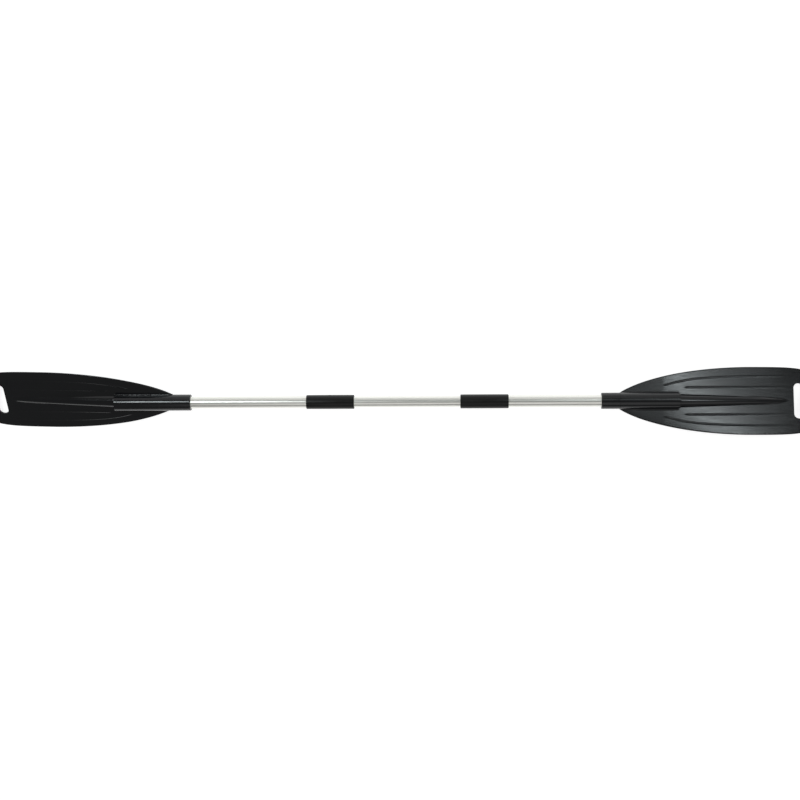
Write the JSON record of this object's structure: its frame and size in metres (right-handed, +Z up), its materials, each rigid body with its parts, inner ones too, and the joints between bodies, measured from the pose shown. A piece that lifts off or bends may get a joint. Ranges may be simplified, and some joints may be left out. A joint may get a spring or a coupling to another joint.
{
  "type": "kayak paddle",
  "caption": "Take-apart double-bladed paddle: spooned plastic blades with hand slots on a jointed aluminium shaft with snap buttons.",
  "frame": {"origin": "on the floor, under the middle of the paddle's box, midway between the two blade sockets", "axes": "+X along the shaft towards the right blade, +Z up from the floor, backs of the blades up"},
  "size_m": [2.0828, 0.1674, 0.0664],
  "materials": {
    "satin_aluminium": "satin anodised, drawn along the tube",
    "blade_plastic": "glossy moulded polypropylene, blue-black",
    "sleeve_plastic": "semi-matte black plastic sleeve",
    "spring_steel": "stainless spring steel",
    "bung_rubber": "black closed rubber"
  },
  "bodies": {
    "centre_shaft": {"centre_tube": "satin_aluminium", "centre_tube_left_bung": "bung_rubber", "centre_tube_right_bung": "bung_rubber", "left_joint_clip": "spring_steel", "right_joint_clip": "spring_steel"},
    "left_shaft": {"left_tube": "satin_aluminium", "left_sleeve": "sleeve_plastic", "left_tube_inner_bung": "bung_rubber", "left_tube_outer_bung": "bung_rubber", "left_blade_clip": "spring_steel"},
    "right_shaft": {"right_tube": "satin_aluminium", "right_sleeve": "sleeve_plastic", "right_tube_inner_bung": "bung_rubber", "right_tube_outer_bung": "bung_rubber", "right_blade_clip": "spring_steel"},
    "left_blade": {"left_blade": "blade_plastic"},
    "right_blade": {"right_blade": "blade_plastic"},
    "left_joint_button": {"left_joint_button": "spring_steel"},
    "right_joint_button": {"right_joint_button": "spring_steel"},
    "left_blade_button": {"left_blade_button": "spring_steel"},
    "right_blade_button": {"right_blade_button": "spring_steel"}
  },
  "joints": [
    {"name": "feather_turn", "type": "hinge", "parent": "centre_shaft", "child": "left_shaft", "pos_m": [-0.1598, 0, 0.0464], "axis": [1, 0, 0], "range_deg": [-84, 0], "deforming": ["left_joint_button"]},
    {"name": "right_shaft_pull", "type": "slide", "parent": "centre_shaft", "child": "right_shaft", "axis": [1, 0, 0], "range_m": [0, 0.11], "deforming": ["right_joint_button"]},
    {"name": "left_blade_pull", "type": "slide", "parent": "left_shaft", "child": "left_blade", "axis": [-1, 0, 0], "range_m": [0, 0.15], "deforming": ["left_blade_button"]},
    {"name": "right_blade_pull", "type": "slide", "parent": "right_shaft", "child": "right_blade", "axis": [1, 0, 0], "range_m": [0, 0.15], "deforming": ["right_blade_button"]},
    {"name": "left_joint_button_press", "type": "slide", "parent": "centre_shaft", "child": "left_joint_button", "axis": [0, 0, 1], "range_m": [0, 0.0042], "stiffness_N_per_m": 3000, "springref_m": -0.002, "deforming": ["left_joint_clip"]},
    {"name": "right_joint_button_press", "type": "slide", "parent": "centre_shaft", "child": "right_joint_button", "axis": [0, 0, 1], "range_m": [0, 0.0042], "stiffness_N_per_m": 3000, "springref_m": -0.002, "deforming": ["right_joint_clip"]},
    {"name": "left_blade_button_press", "type": "slide", "parent": "left_shaft", "child": "left_blade_button", "axis": [0, -0.3584, 0.9336], "range_m": [0, 0.0059], "stiffness_N_per_m": 3000, "springref_m": -0.002, "deforming": ["left_blade_clip"]},
    {"name": "right_blade_button_press", "type": "slide", "parent": "right_shaft", "child": "right_blade_button", "axis": [0, 0.3584, 0.9336], "range_m": [0, 0.0059], "stiffness_N_per_m": 3000, "springref_m": -0.002, "deforming": ["right_blade_clip"]}
  ]
}
